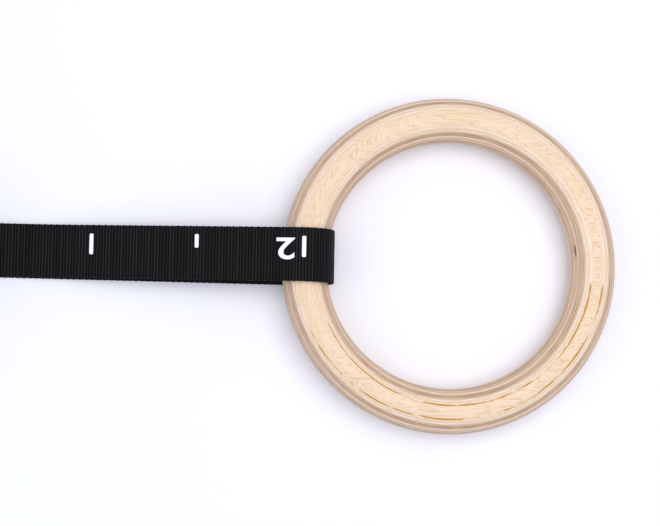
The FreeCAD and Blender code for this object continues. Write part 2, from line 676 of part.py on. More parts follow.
def cam_lever():
    """Thumb plate and toothed cam in one casting; pressing the plate lifts the teeth."""
    body = new_body("cam_lever")
    width = SIZE["lever_width"]

    hub = new_sketch(body, "hub_section", "XZ_Plane")
    add_circle(hub, (PIN_X, PIN_Z), SIZE["hub_radius"], "sizes.hub_radius")
    pad(body, hub, "hub", width, "sizes.lever_width")
    DOCUMENT.recompute()

    cam_start, cam_end, teeth = -112.0, -52.0, 6
    step = (cam_end - cam_start) / teeth
    growth = (SIZE["cam_high_radius"] - SIZE["cam_low_radius"]) / (cam_end - cam_start)
    corners = [about_pin(0, 0), on_cam(cam_start - step, SIZE["hub_radius"] - 1)]
    for tooth in range(teeth + 1):
        angle = cam_start + tooth * step
        tip = SIZE["cam_low_radius"] + growth * (angle - cam_start)
        corners.append(on_cam(angle - step / 2, tip - SIZE["tooth_depth"]))
        corners.append(on_cam(angle, tip))
    corners.append(on_cam(cam_end + step, SIZE["cam_high_radius"] - 1))
    corners.append(on_cam(10, SIZE["hub_radius"] - 1))
    cam = new_sketch(body, "cam_outline", "XZ_Plane")
    add_outline(cam, corners)
    pad(body, cam, "toothed_cam", width, "sizes.lever_width")
    DOCUMENT.recompute()

    length = SIZE["thumb_length"]
    top = SIZE["hub_radius"]
    rise = SIZE["thumb_rise"]
    root = top - SIZE["thumb_root"]
    tip = -length + SIZE["thumb_tip_cut"]
    thumb = new_sketch(body, "thumb_outline", "XZ_Plane")
    corners = [
        about_pin(0, top),
        about_pin(tip, top + rise),
        about_pin(-length, top + rise - SIZE["thumb_tip_cut"]),
        about_pin(-length, top + rise - SIZE["thumb_thickness"]),
        about_pin(-SIZE["thumb_root"], root),
        about_pin(0, root),
    ]
    add_outline(thumb, corners)
    pad(body, thumb, "thumb_plate", width, "sizes.lever_width")
    DOCUMENT.recompute()

    round_edges(
        body,
        "rounded_thumb",
        "thumb_round",
        lambda place: place.x < PIN_X - SIZE["hub_radius"] - 1,
    )

    slope = rise / tip
    ridges = new_sketch(body, "ridge_section", "XZ_Plane")
    for number in range(4):
        place = -SIZE["ridge_start"] - number * SIZE["ridge_spacing"]
        centre = about_pin(place, top + place * slope)
        add_circle(ridges, centre, SIZE["thumb_ridge"], "sizes.thumb_ridge")
    pad(
        body,
        ridges,
        "thumb_ridges",
        width - 2 * SIZE["ridge_margin"],
        "sizes.lever_width - 2 * sizes.ridge_margin",
    )
    DOCUMENT.recompute()

    slot = new_sketch(body, "spring_slot_outline", "XZ_Plane")
    reach = SIZE["hub_radius"] + 0.2
    corners = [
        about_pin(-19, -9),
        about_pin(-1, -9),
        about_pin(reach * 0.8, -reach * 0.6),
        about_pin(reach, 0),
        about_pin(reach * 0.6, 5),
        about_pin(-19, 5),
    ]
    add_outline(slot, corners)
    gap = pocket(body, slot, "spring_slot", SIZE["spring_slot"])
    gap.setExpression("Length", "sizes.spring_slot")
    DOCUMENT.recompute()

    bore = new_sketch(body, "bore_section", "XZ_Plane")
    radius = SIZE["pin_radius"] + SIZE["pin_running_gap"]
    add_circle(bore, (PIN_X, PIN_Z), radius, "sizes.pin_radius + sizes.pin_running_gap")
    pocket(body, bore, "pin_bore", 2 * width)


def cam_pin():
    """Steel pin across the side plates, its ends riveted over."""
    body = new_body("cam_pin")
    half = SIZE["plate_inner_width"] / 2 + SIZE["plate_thickness"]
    head = half + SIZE["pin_head_height"]
    shaft = new_sketch(body, "pin_shaft_section", "XZ_Plane")
    add_circle(shaft, (PIN_X, PIN_Z), SIZE["pin_radius"], "sizes.pin_radius")
    pad(body, shaft, "pin_shaft", 2 * head, None)
    DOCUMENT.recompute()
    heads = new_sketch(body, "pin_head_section", "XZ_Plane")
    add_circle(heads, (PIN_X, PIN_Z), SIZE["pin_head_radius"], "sizes.pin_head_radius")
    pad(body, heads, "pin_heads", 2 * head, None)
    DOCUMENT.recompute()
    between = new_sketch(body, "between_heads_section", "XZ_Plane")
    add_circle(between, (PIN_X, PIN_Z), SIZE["pin_head_radius"] + 1, None)
    add_circle(between, (PIN_X, PIN_Z), SIZE["pin_radius"], "sizes.pin_radius")
    pocket(body, between, "between_heads", 2 * half)


def cam_spring():
    """Torsion spring round the pin: one leg on the floor, the other under the thumb plate."""
    turns = SIZE["coil_turns"]
    height = turns * SIZE["coil_pitch"]
    coil = Part.makeHelix(SIZE["coil_pitch"], height, SIZE["coil_radius"])
    origin = FreeCAD.Vector(0, 0, 0)
    coil.rotate(origin, FreeCAD.Vector(1, 0, 0), 90)
    coil.rotate(origin, FreeCAD.Vector(0, -1, 0), 90 - 360 * turns)
    coil.translate(FreeCAD.Vector(0, height / 2, 0))
    turned = coil.Edges[0]
    floor_tangent = turned.valueAt(turned.FirstParameter)
    thumb_tangent = turned.valueAt(turned.LastParameter)
    inward = turned.tangentAt(turned.FirstParameter)
    outward = turned.tangentAt(turned.LastParameter)

    floor_top = SIZE["floor_rise"] + SIZE["floor_thickness"] - PIN_Z
    floor_drop = floor_tangent.z - floor_top - SIZE["wire_radius"] - SIZE["leg_gap"]
    floor_end = floor_tangent - inward * (floor_drop / inward.z)
    thumb_end = thumb_tangent + outward * SIZE["leg_length"]
    route = Part.Wire([
        Part.makeLine(floor_end, floor_tangent),
        turned,
        Part.makeLine(thumb_tangent, thumb_end),
    ])
    section = Part.Wire(Part.makeCircle(SIZE["wire_radius"], floor_end, inward))
    shape = route.makePipeShell([section], True, False)
    shape.translate(FreeCAD.Vector(PIN_X, 0, PIN_Z))
    add_solids("cam_spring", [shape])


def main():
    check_throat()
    wooden_ring()
    lengths = webbing()
    strap_roll(sum(lengths.values()))
    storage_tie()
    printed_scale()
    sewn_end_stitching()
    buckle_frame()
    cam_lever()
    cam_pin()
    cam_spring()
    DOCUMENT.recompute()
    for item in DOCUMENT.Objects:
        faults = [state for state in item.State if state in ("Invalid", "Error")]
        assert not faults, "%s is %s" % (item.Label, faults)
    os.makedirs("parts", exist_ok=True)
    for part in SUB_PARTS:
        shape = part.Shape
        assert not shape.isNull() and shape.isValid(), "%s has no valid shape" % part.Label
        print("%-22s %2d solid %9.1f mm3" % (part.Label, len(shape.Solids), shape.Volume))
        shape.exportStep("parts/%s.step" % part.Label)
    for name, length in lengths.items():
        print("%-22s %8.1f mm long" % (name, length))
    print("roll axis x %.2f z %.2f, throat x %.2f z %.2f, tilt %.3f deg"
          % (roll_place(), ROLL_Z, THROAT_X, THROAT_Z, math.degrees(TILT)))


main()
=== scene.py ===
import json
import math

import bmesh
import bpy
import numpy as np
from mathutils import Matrix, Vector


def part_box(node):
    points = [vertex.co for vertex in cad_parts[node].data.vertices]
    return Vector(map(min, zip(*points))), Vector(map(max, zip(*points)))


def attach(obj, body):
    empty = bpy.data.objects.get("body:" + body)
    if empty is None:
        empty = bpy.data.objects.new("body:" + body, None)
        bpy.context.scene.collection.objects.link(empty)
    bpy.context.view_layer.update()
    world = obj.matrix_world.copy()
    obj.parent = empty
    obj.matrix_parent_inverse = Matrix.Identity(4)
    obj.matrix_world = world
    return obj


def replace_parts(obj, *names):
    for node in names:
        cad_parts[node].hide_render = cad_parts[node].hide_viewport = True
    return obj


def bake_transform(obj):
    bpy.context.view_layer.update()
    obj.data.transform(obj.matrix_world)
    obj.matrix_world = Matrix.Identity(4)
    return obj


# A wooden gymnastics ring on its black webbing strap, seen from above on a white table.  The strap
# is one 4.5 m length of ribbed webbing: it is sewn round the buckle's rear bar, hangs in a fold,
# goes under and round the ring, comes back through the buckle, and ends in a tied roll.

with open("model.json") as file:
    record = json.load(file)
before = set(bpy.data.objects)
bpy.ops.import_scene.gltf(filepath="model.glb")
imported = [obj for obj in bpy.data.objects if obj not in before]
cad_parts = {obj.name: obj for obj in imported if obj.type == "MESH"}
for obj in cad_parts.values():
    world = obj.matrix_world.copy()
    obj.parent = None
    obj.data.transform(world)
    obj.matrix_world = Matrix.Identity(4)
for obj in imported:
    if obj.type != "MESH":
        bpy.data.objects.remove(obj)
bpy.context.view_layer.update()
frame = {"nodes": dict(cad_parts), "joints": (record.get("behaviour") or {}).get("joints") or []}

MM = 0.001
NODES = frame["nodes"]
STRAP, RING, LEVER = "strap", "ring", "lever"

# ---------------------------------------------------------------- places taken from the frame

RING_LOW, RING_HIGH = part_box("wooden_ring")
RING_CENTRE = (RING_LOW + RING_HIGH) / 2
RING_OUTSIDE = (RING_HIGH.y - RING_LOW.y) / 2
TUBE_RADIUS = 16 * MM
RING_RADIUS = RING_OUTSIDE - TUBE_RADIUS
RING_LEAN = math.asin(((RING_HIGH.z - RING_LOW.z) / 2 - TUBE_RADIUS) / RING_RADIUS)

STRAND_LOW, STRAND_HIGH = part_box("strap_lower_strand")
STRAP_MIDDLE = (STRAND_LOW.y + STRAND_HIGH.y) / 2
STRAP_WIDTH = STRAND_HIGH.y - STRAND_LOW.y
THICKNESS = STRAND_HIGH.z - STRAND_LOW.z
THROAT = Vector(next(j["pos_m"] for j in frame["joints"] if j["name"] == "ring_swing"))

ROLL_LOW, ROLL_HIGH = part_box("strap_roll")
ROLL_CENTRE = (ROLL_LOW + ROLL_HIGH) / 2
ROLL_RADIUS = (ROLL_HIGH.z - ROLL_LOW.z) / 2
TIE_LOW, TIE_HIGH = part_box("storage_tie")

# ---------------------------------------------------------------- the strap's own sizes

BAR_HEIGHT = 7.9 * MM
BAR_TURN = 4.95 * MM
FRONT_BAR_X = -434 * MM
REAR_BAR_X = FRONT_BAR_X - 44 * MM
FOLD_X = -552 * MM
FOLD_RADIUS = 6 * MM
SEWN_LENGTH = 42 * MM
SEWN_BEND = 10 * MM
SEWN_LIFT = 35
DESCENT = 11
LANDING_BEND = 250 * MM
ROLL_CORE = 12 * MM
STRAP_LENGTH = 4500 * MM

RIB_PITCH = 2.2 * MM
RIB_DEPTH = 0.26 * MM
SCALLOP = 0.28 * MM
FOOT = 304.8 * MM
INK_PROUD = 0.05 * MM
INK_LAYER = 0.1 * MM


# ---------------------------------------------------------------- routes and ribbons

class Route:
    """A line of straight runs and tangent arcs in an upright plane; headings are in degrees."""

    def __init__(self, along, up, heading):
        self.end = (along, up, heading)
        self.pieces = []
        self.length = 0.0

    def _add(self, length, curvature):
        along, up, heading = self.end
        self.pieces.append((self.length, length, along, up, math.radians(heading), curvature))
        self.length += length
        spot = self._walk(self.pieces[-1], np.array([length]))
        self.end = (spot[0][0], spot[1][0], math.degrees(spot[2][0]))
        return self

    def run(self, length):
        return self._add(length, 0.0)

    def turn(self, radius, degrees):
        """An arc: counter-clockwise if degrees is positive."""
        return self._add(radius * math.radians(abs(degrees)), math.copysign(1 / radius, degrees))

    @staticmethod
    def _walk(piece, distance):
        _, _, along, up, heading, curvature = piece
        if curvature == 0:
            return (along + distance * math.cos(heading), up + distance * math.sin(heading),
                    np.full_like(distance, heading))
        angle = heading + distance * curvature
        return (along + (np.sin(angle) - math.sin(heading)) / curvature,
                up - (np.cos(angle) - math.cos(heading)) / curvature, angle)

    def at(self, distance):
        """Place along, place up and heading at each distance from the start."""
        distance = np.asarray(distance, float)
        found = [np.zeros_like(distance) for _ in range(3)]
        for index, piece in enumerate(self.pieces):
            start, length = piece[:2]
            here = distance >= start
            if index + 1 < len(self.pieces):
                here &= distance < start + length
            if index == 0:
                here |= distance < start
            for whole, part in zip(found, self._walk(piece, distance[here] - start)):
                whole[here] = part
        return found


class Spiral:
    """The roll: it starts on its outside, under its middle, and winds inwards."""

    def __init__(self, start, outer, inner, length, angle):
        self.start, self.outer, self.angle = start, outer, angle
        self.shrink = (outer ** 2 - inner ** 2) / (2 * length)
        self.length = length

    def at(self, distance):
        """The radius falls by the same amount each turn, so its square falls evenly with length."""
        distance = np.asarray(distance, float)
        radius = np.sqrt(self.outer ** 2 - 2 * self.shrink * distance)
        angle = self.angle + (self.outer - radius) / self.shrink
        return (ROLL_CENTRE.x + radius * np.cos(angle), ROLL_CENTRE.z + radius * np.sin(angle),
                angle + math.pi / 2)


def strap_route():
    """From the sewn tip to the roll, in the strap's middle plane."""
    sewn_z = BAR_HEIGHT + BAR_TURN - THICKNESS
    drop = sewn_z - (BAR_HEIGHT - BAR_TURN)
    slope = math.radians(SEWN_LIFT)
    slant = (drop - 2 * SEWN_BEND * (1 - math.cos(slope))) / math.sin(slope)
    reach = 2 * SEWN_BEND * math.sin(slope) + slant * math.cos(slope)
    route = Route(REAR_BAR_X - reach - SEWN_LENGTH, sewn_z, 0)
    route.run(SEWN_LENGTH).turn(SEWN_BEND, -SEWN_LIFT).run(slant).turn(SEWN_BEND, SEWN_LIFT)
    route.turn(BAR_TURN, 180).run(REAR_BAR_X - FOLD_X)
    route.sewn_end = route.length
    route.turn(FOLD_RADIUS, 180)
    route.run(THROAT.x - FOLD_X)
    route.wrap_start = route.length
    route.turn(THROAT.z - THICKNESS / 2, 180 + DESCENT)
    route.wrap_end = route.length
    _, up, _ = route.end
    slope = math.radians(DESCENT)
    fall = up - (BAR_HEIGHT - BAR_TURN) - LANDING_BEND * (1 - math.cos(slope))
    route.run(fall / math.sin(slope)).turn(LANDING_BEND, -DESCENT)
    route.run(route.end[0] - FRONT_BAR_X)
    route.buckle = route.length
    route.turn(BAR_TURN, -180 - DESCENT)
    offset_x = ROLL_CENTRE.x - route.end[0]
    offset_z = ROLL_CENTRE.z - route.end[1]
    route.run(offset_x * math.cos(slope) - offset_z * math.sin(slope))
    return route


STRANDS = strap_route()
ROLL_MIDDLE = ROLL_RADIUS - THICKNESS / 2
ROLLED = STRAP_LENGTH - STRANDS.length
ROLL = Spiral(STRANDS.length, ROLL_MIDDLE, ROLL_CORE + THICKNESS / 2, ROLLED,
              math.radians(-90 - DESCENT))


def drift(distance):
    """How far the webbing wanders sideways: it leaves the ring a little askew."""
    stops = [STRANDS.sewn_end, STRANDS.wrap_start, STRANDS.wrap_end, STRANDS.buckle]
    return np.interp(distance, stops, [0.0, RING_SIDE_DRIFT_LOW, RING_SIDE_DRIFT_HIGH, 0.0])


RING_SIDE_DRIFT_LOW = -2.3 * MM
RING_SIDE_DRIFT_HIGH = -1.2 * MM


def ribs(distance):
    """Half the thickness along the webbing: a rounded cord, then a narrow valley."""
    across = 2 * ((distance / RIB_PITCH) % 1.0) - 1
    return THICKNESS / 2 - RIB_DEPTH * (1 - np.sqrt(1 - across ** 2))


def strap_place(distance, sideways, lift):
    """A point of the webbing: lift is from its middle line towards its printed face."""
    distance, sideways, lift = np.broadcast_arrays(distance, sideways, lift)
    on_roll = distance > STRANDS.length
    first = STRANDS.at(np.where(on_roll, STRANDS.length, distance))
    second = ROLL.at(np.where(on_roll, distance - STRANDS.length, 0.0))
    along, up, heading = [np.where(on_roll, b, a) for a, b in zip(first, second)]
    return np.stack([along + lift * np.sin(heading),
                     STRAP_MIDDLE + sideways + drift(distance),
                     up - lift * np.cos(heading)], axis=-1)


def grid_mesh(name, points, weave, closed_section):
    """A mesh from rows of points; each row's last point joins its first if the section is closed."""
    rows, columns = points.shape[:2]
    joined = columns if closed_section else columns - 1
    index = np.arange(rows * columns).reshape(rows, columns)
    low, high = index[:-1], index[1:]
    following = np.roll(index, -1, axis=1)
    quads = np.stack([low, following[:-1], following[1:], high], axis=-1)[:, :joined]
    faces = quads.reshape(-1, 4).tolist()
    if closed_section:
        faces.append(index[0][::-1].tolist())
        faces.append(index[-1].tolist())
    mesh = bpy.data.meshes.new(name)
    mesh.from_pydata(points.reshape(-1, 3).tolist(), [], faces)
    mesh.shade_smooth()
    place = mesh.attributes.new("weave", "FLOAT_VECTOR", "POINT")
    place.data.foreach_set("vector", weave.reshape(-1, 3).astype(np.float32).ravel())
    piece = bpy.data.objects.new(name, mesh)
    bpy.context.scene.collection.objects.link(piece)
    return piece


def section(columns):
    """The webbing's section, as (share of half the width, share of half the thickness)."""
    flat = [0.965 * math.sin(math.radians(a)) for a in np.linspace(-90, 90, columns)]
    printed = [(place, 1.0) for place in flat]
    edge = [(0.99, 0.72), (1.0, 0.0), (0.99, -0.72)]
    back = [(-place, -level) for place, level in printed]
    return np.array(printed + edge + back + [(-a, -b) for a, b in edge])


def webbing(name, start, end, per_rib, columns):
    """A stretch of the strap, with its ribs and its scalloped edges as real shape."""
    count = round((end - start) / RIB_PITCH * per_rib)
    distance = np.linspace(start, end, count + 1)[:, None]
    shape = section(columns)
    edge_wave = np.abs(np.sin(np.pi * distance / (2 * RIB_PITCH)))
    near_edge = np.clip((np.abs(shape[:, 0]) - 0.9) / 0.1, 0, 1)
    half_width = STRAP_WIDTH / 2 - SCALLOP * (1 - edge_wave) * near_edge
    sideways = shape[:, 0] * half_width
    points = strap_place(distance, sideways, shape[:, 1] * ribs(distance))
    weave = np.stack([np.broadcast_to(distance, sideways.shape), sideways,
                      np.broadcast_to(shape[:, 1] * THICKNESS / 2, sideways.shape)], axis=-1)
    return grid_mesh(name, points, weave, closed_section=True)


# ---------------------------------------------------------------- materials

class Paint:
    """A principled material, and short words for the nodes that feed it."""

    def __init__(self, name, **uniform):
        self.material = bpy.data.materials.new(name)
        self.material.use_nodes = True
        self.nodes = self.material.node_tree.nodes
        self.links = self.material.node_tree.links
        self.shader = self.nodes["Principled BSDF"]
        for socket, value in uniform.items():
            self.shader.inputs[socket.replace("_", " ")].default_value = value

    def _node(self, kind, *values, **settings):
        node = self.nodes.new("ShaderNode" + kind)
        for key, value in settings.items():
            setattr(node, key, value)
        for socket, value in zip(node.inputs, values):
            self.feed(socket, value)
        return node

    def feed(self, socket, value):
        if isinstance(value, bpy.types.NodeSocket):
            self.links.new(value, socket)
        elif value is not None:
            socket.default_value = value

    def math(self, operation, *values):
        return self._node("Math", *values, operation=operation).outputs[0]

    def scaled(self, vector, scale):
        return self._node("VectorMath", vector, scale, operation="MULTIPLY").outputs[0]

    def split(self, vector):
        return self._node("SeparateXYZ", vector).outputs[:3]

    def join(self, *parts):
        return self._node("CombineXYZ", *parts).outputs[0]

    def object_place(self):
        """The place in the piece's own frame, in millimetres."""
        place = self._node("TexCoord").outputs["Object"]
        return self.scaled(place, (1000, 1000, 1000))

    def weave_place(self):
        """Length along, width across and level through the webbing, in millimetres."""
        place = self._node("Attribute", attribute_name="weave").outputs["Vector"]
        return self.scaled(place, (1000, 1000, 1000))

    def noise(self, vector, scale, detail=2.0, roughness=0.5, distortion=0.0):
        node = self._node("TexNoise")
        self.feed(node.inputs["Vector"], vector)
        node.inputs["Scale"].default_value = scale
        node.inputs["Detail"].default_value = detail
        node.inputs["Roughness"].default_value = roughness
        node.inputs["Distortion"].default_value = distortion
        return node.outputs[0]

    def random(self, value):
        node = self._node("TexWhiteNoise", noise_dimensions="1D")
        self.feed(node.inputs["W"], value)
        return node.outputs["Value"]

    def fade(self, value, low, high, first=0.0, last=1.0):
        """first where value is at low, last where it is at high, smooth between."""
        node = self._node("MapRange", interpolation_type="SMOOTHSTEP")
        for socket, number in zip(node.inputs, (value, low, high, first, last)):
            self.feed(socket, number)
        return node.outputs[0]

    def mix(self, share, first, second):
        node = self._node("Mix", data_type="RGBA")
        self.feed(node.inputs["Factor"], share)
        self.feed(node.inputs[6], first)
        self.feed(node.inputs[7], second)
        return node.outputs[2]

    def blend_numbers(self, share, first, second):
        node = self._node("Mix", data_type="FLOAT")
        for socket, value in zip(node.inputs[:1], (share,)):
            self.feed(socket, value)
        self.feed(node.inputs[2], first)
        self.feed(node.inputs[3], second)
        return node.outputs[0]

    def colour(self, value):
        self.feed(self.shader.inputs["Base Color"], value)

    def roughness(self, value):
        self.feed(self.shader.inputs["Roughness"], value)

    def bump(self, height, distance, strength=1.0):
        """height is a share of distance, which is in metres."""
        node = self._node("Bump")
        self.feed(node.inputs["Height"], height)
        node.inputs["Distance"].default_value = distance
        node.inputs["Strength"].default_value = strength
        self.links.new(node.outputs[0], self.shader.inputs["Normal"])


def rgb(red, green, blue):
    """A colour from its 0 to 255 screen values."""
    linear = [(v / 255 / 12.92) if v <= 10 else ((v / 255 + 0.055) / 1.055) ** 2.4
              for v in (red, green, blue)]
    return (*linear, 1.0)


def birch_plywood():
    """Twenty-three birch plies turned to a round tube, sanded and left bare."""
    core_plies, face_ply = 21, 1.2
    tube, ring = TUBE_RADIUS / MM, RING_RADIUS / MM
    core_ply = (2 * tube - 2 * face_ply) / core_plies

    p = Paint("birch_plywood", Specular_IOR_Level=0.32, Coat_Weight=0.06, Coat_Roughness=0.35)
    x, y, z = p.split(p.object_place())
    reach = p.math("SQRT", p.math("ADD", p.math("MULTIPLY", x, x), p.math("MULTIPLY", y, y)))
    cosine = p.math("DIVIDE", x, reach)
    sine = p.math("DIVIDE", y, reach)
    sideness = p.math("MINIMUM", 1.0,
                      p.math("DIVIDE", p.math("ABSOLUTE", p.math("SUBTRACT", reach, ring)), tube))

    # The sheet was not quite level when the ring was turned, and its plies swell and thin a little.
    swell = p.noise(p.join(x, y, p.math("MULTIPLY", z, 0.4)), 0.022, 2.0)
    level = p.math("ADD", z, p.math("MULTIPLY_ADD", cosine, -0.45, p.math("MULTIPLY", sine, 0.3)))
    level = p.math("ADD", level, p.math("MULTIPLY_ADD", swell, 0.7, -0.35))
    stack = p.math("DIVIDE", p.math("SUBTRACT", tube - face_ply, level), core_ply)
    ply = p.math("FLOOR", stack)
    lengthwise = p.math("FLOORED_MODULO", ply, 2.0)
    face = p.math("MAXIMUM", p.math("LESS_THAN", stack, 0.0),
                  p.math("GREATER_THAN", stack, float(core_plies)))

    along = p.blend_numbers(lengthwise, y, x)
    across = p.blend_numbers(lengthwise, x, y)
    end_grain = p.math("MULTIPLY", sideness, p.math("ABSOLUTE",
                                                    p.blend_numbers(lengthwise, sine, cosine)))
    end_grain = p.fade(end_grain, 0.25, 0.95)
    end_grain = p.math("MULTIPLY", end_grain, p.math("SUBTRACT", 1.0, face))

    # Growth rings cut at a shallow angle: contour lines of height and of the log's slow waves.
    log_waves = p.noise(p.join(p.math("MULTIPLY", along, 0.16), across,
                               p.math("MULTIPLY", ply, 7.7)), 0.075, 3.0, 0.58)
    rings = p.math("MULTIPLY_ADD", log_waves, 9.5, p.math("MULTIPLY", z, 1.8))
    ring_line = p.math("PINGPONG", rings, 0.5)
    ring_line = p.fade(ring_line, 0.0, 0.32, 1.0, 0.0)
    streaks = p.noise(p.join(p.math("MULTIPLY", along, 0.035), p.math("MULTIPLY", across, 0.8),
                             p.math("MULTIPLY_ADD", ply, 2.3, z)), 1.0, 3.0, 0.65)
    fibre = p.noise(p.join(p.math("MULTIPLY", along, 0.08), across,
                           p.math("MULTIPLY_ADD", ply, 3.1, z)), 2.6, 3.0, 0.6)
    pores = p.noise(p.join(p.math("MULTIPLY", along, 0.06), p.math("MULTIPLY", across, 1.0),
                           p.math("MULTIPLY", z, 1.0)), 5.5, 2.0, 0.5)
    pores = p.fade(pores, 0.60, 0.74)

    sapwood, figure = rgb(240, 215, 182), rgb(214, 173, 127)
    end_light, end_dark = rgb(232, 205, 176), rgb(176, 143, 111)
    figure_share = p.math("MULTIPLY", ring_line, p.fade(streaks, 0.35, 0.65, 0.12, 0.62))
    wood = p.mix(figure_share, sapwood, figure)
    wood = p.mix(p.fade(streaks, 0.50, 0.72, 0.0, 0.55), wood, rgb(219, 180, 135))
    cloud = p.noise(p.join(x, y, z), 0.045, 3.0, 0.6)
    wood = p.mix(p.fade(cloud, 0.35, 0.75, 0.0, 0.35), wood, rgb(236, 203, 160))
    wood = p.mix(p.math("MULTIPLY", pores, 0.30), wood, rgb(196, 152, 104))
    end_tone = p.math("MULTIPLY_ADD", fibre, 0.9, p.math("MULTIPLY_ADD", p.random(ply), 0.7, -0.45))
    end_wood = p.mix(p.fade(end_tone, 0.0, 1.0), end_light, end_dark)
    wood = p.mix(end_grain, wood, end_wood)
    ply_depth = p.math("MINIMUM", ply, p.math("SUBTRACT", core_plies - 1.0, ply))
    ply_tone = p.math("MULTIPLY", p.fade(ply_depth, -0.2, 1.4),
                      p.fade(p.random(p.math("ADD", ply, 0.37)), 0.25, 0.9, 0.0, 0.52))
    wood = p.mix(ply_tone, wood, rgb(186, 152, 119))

    # Just past the face veneer the glue has bleached the wood.
    bleached = p.math("MULTIPLY", p.fade(stack, 0.05, 0.55, 1.0, 0.0), p.math("GREATER_THAN", stack, 0.0))
    wood = p.mix(p.math("MULTIPLY", bleached, p.fade(streaks, 0.3, 0.7, 0.5, 0.1)), wood, rgb(245, 230, 214))

    # Glue lines: ochre resin on one half of the ring, pale filled ones on the other.
    to_line = p.math("MULTIPLY", p.math("PINGPONG", stack, 0.5), core_ply)
    broken = p.noise(p.join(x, y, p.math("MULTIPLY", ply, 5.0)), 0.06, 3.0, 0.6)
    line_width = p.fade(broken, 0.30, 0.70, 0.12, 0.28)
    line = p.math("SUBTRACT", 1.0, p.math("MINIMUM", 1.0, p.math("DIVIDE", to_line, line_width)))
    line = p.fade(line, 0.0, 0.5)
    inside = p.math("MULTIPLY", p.math("GREATER_THAN", stack, -0.2),
                    p.math("LESS_THAN", stack, core_plies + 0.2))
    line = p.math("MULTIPLY", line, inside)
    first_line = p.math("LESS_THAN", p.math("ABSOLUTE", stack), 0.3)
    lower_half = p.fade(p.math("MULTIPLY_ADD", cosine, -0.17, sine), -0.24, -0.32)
    resin = p.math("MULTIPLY", first_line, lower_half)
    glue = p.mix(resin, rgb(250, 240, 229), rgb(194, 140, 44))
    dark_line = p.math("MULTIPLY", p.math("SUBTRACT", 1.0, first_line),
                       p.fade(p.random(p.math("ROUND", stack)), 0.35, 0.6))
    glue = p.mix(dark_line, glue, rgb(140, 98, 66))
    first_share = p.blend_numbers(resin, p.fade(broken, 0.38, 0.60, 0.10, 0.50),
                                  p.fade(broken, 0.40, 0.47))
    glue_share = p.blend_numbers(first_line, p.fade(broken, 0.35, 0.60, 0.45, 0.90), first_share)
    wood = p.mix(p.math("MULTIPLY", line, glue_share), wood, glue)

    # A joint in the face veneer, and an open knot in a core ply on the inner wall.
    joint = p.math("LESS_THAN", p.math("ABSOLUTE", p.math("ADD", y, 81.5)), 0.3)
    joint = p.math("MULTIPLY", joint, p.math("LESS_THAN", p.math("ABSOLUTE", p.math("ADD", x, 60.0)), 11.0))
    joint = p.math("MULTIPLY", joint, p.math("GREATER_THAN", z, 0.0))
    wood = p.mix(p.math("MULTIPLY", joint, p.math("MULTIPLY", face, 0.6)), wood, rgb(196, 152, 122))
    knot_along = p.math("DIVIDE", p.math("SUBTRACT", y, 12.0), 6.0)
    knot_up = p.math("DIVIDE", p.math("SUBTRACT", z, 8.2), 0.8)
    knot = p.math("SQRT", p.math("ADD", p.math("MULTIPLY", knot_along, knot_along),
                                 p.math("MULTIPLY", knot_up, knot_up)))
    knot = p.fade(p.math("MULTIPLY_ADD", fibre, 0.8, knot), 1.0, 1.4, 1.0, 0.0)
    inner_right = p.math("MULTIPLY", p.math("GREATER_THAN", x, 0.0), p.math("LESS_THAN", reach, ring))
    wood = p.mix(p.math("MULTIPLY", knot, inner_right), wood, rgb(120, 84, 62))

    p.colour(wood)
    p.roughness(p.blend_numbers(end_grain, 0.50, 0.66))
    relief = p.math("SUBTRACT", p.math("MULTIPLY", fibre, 0.5), p.math("MULTIPLY", line, 0.5))
    relief = p.math("SUBTRACT", relief, p.math("MULTIPLY", pores, 0.4))
    p.bump(relief, 0.00012, 0.55)
    return p.material


def black_webbing():
    """Ribbed polyester: yarns run lengthwise over thick cords that lie across the strap."""
    p = Paint("black_webbing", Specular_IOR_Level=0.10, Sheen_Weight=0.04, Sheen_Roughness=0.5)
    along, across, _ = p.split(p.weave_place())
    rib = p.math("DIVIDE", along, RIB_PITCH / MM)
    hollow = p.math("PINGPONG", rib, 0.5)
    yarn = p.math("SINE", p.math("MULTIPLY_ADD", across, 2 * math.pi / 0.9,
                                 p.math("MULTIPLY", p.math("FLOOR", rib), math.pi)))
    yarn = p.math("MULTIPLY_ADD", yarn, 0.5, 0.5)
    fuzz = p.noise(p.join(along, across, 0.0), 3.2, 3.0, 0.65)
    wear = p.noise(p.join(p.math("MULTIPLY", along, 0.3), across, 0.0), 0.12, 3.0, 0.6)
    # Painted highlight and shade: the rib crests are painted up to dark grey and the valleys near-black, on
    # top of the real ribs in the mesh and the bump.
    crest = p.fade(hollow, 0.15, 0.47)
    shade = p.math("MULTIPLY_ADD", p.random(p.math("FLOOR", rib)), 0.8, 0.6)
    light = p.math("MULTIPLY", crest, p.math("MULTIPLY_ADD", fuzz, 0.8, p.math("MULTIPLY", yarn, 0.4)))
    black = p.mix(p.math("MULTIPLY", light, shade), rgb(1, 1, 1), rgb(45, 45, 46))
    black = p.mix(p.fade(wear, 0.45, 0.8, 0.0, 0.12), black, rgb(38, 38, 40))
    p.colour(black)
    p.roughness(p.fade(fuzz, 0.2, 0.8, 0.58, 0.82))
    height = p.math("MULTIPLY", crest, p.math("MULTIPLY_ADD", yarn, 0.55, p.math("MULTIPLY", fuzz, 0.45)))
    p.bump(height, 0.00016, 0.7)
    return p.material


def white_ink():
    p = Paint("white_ink", Specular_IOR_Level=0.4)
    place = p.object_place()
    fleck = p.noise(place, 2.2, 3.0, 0.6)
    p.colour(p.mix(p.fade(fleck, 0.55, 0.8, 0.0, 0.35), rgb(250, 250, 250), rgb(222, 223, 226)))
    p.roughness(p.fade(fleck, 0.3, 0.7, 0.5, 0.66))
    p.bump(fleck, 0.00008, 0.5)
    return p.material


